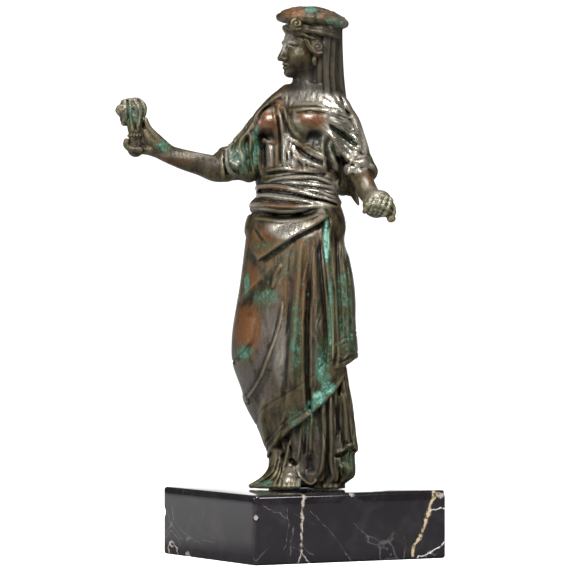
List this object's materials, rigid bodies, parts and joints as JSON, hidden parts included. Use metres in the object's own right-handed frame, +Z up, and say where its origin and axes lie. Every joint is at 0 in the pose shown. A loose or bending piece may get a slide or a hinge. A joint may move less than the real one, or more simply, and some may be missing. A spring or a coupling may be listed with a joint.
{
  "type": "bronze lady statuette on a marble plinth",
  "caption": "Cast bronze statuette of a draped, veiled woman in a round cap with both arms held out, standing on a low polished marble plinth.",
  "frame": {"origin": "centre of the plinth's underside", "axes": "+Z up through the head, X along the plinth's longer side, -Y out of the long face that the picture shows at the right"},
  "size_m": [0.1034, 0.079, 0.2032],
  "materials": {
    "marble": "polished black marble with white and gold veins",
    "bronze": "dark brown patinated bronze with reddish wear and green verdigris"
  },
  "bodies": {
    "root": {"marble_plinth": "marble", "bronze_figure": "bronze"}
  },
  "joints": []
}
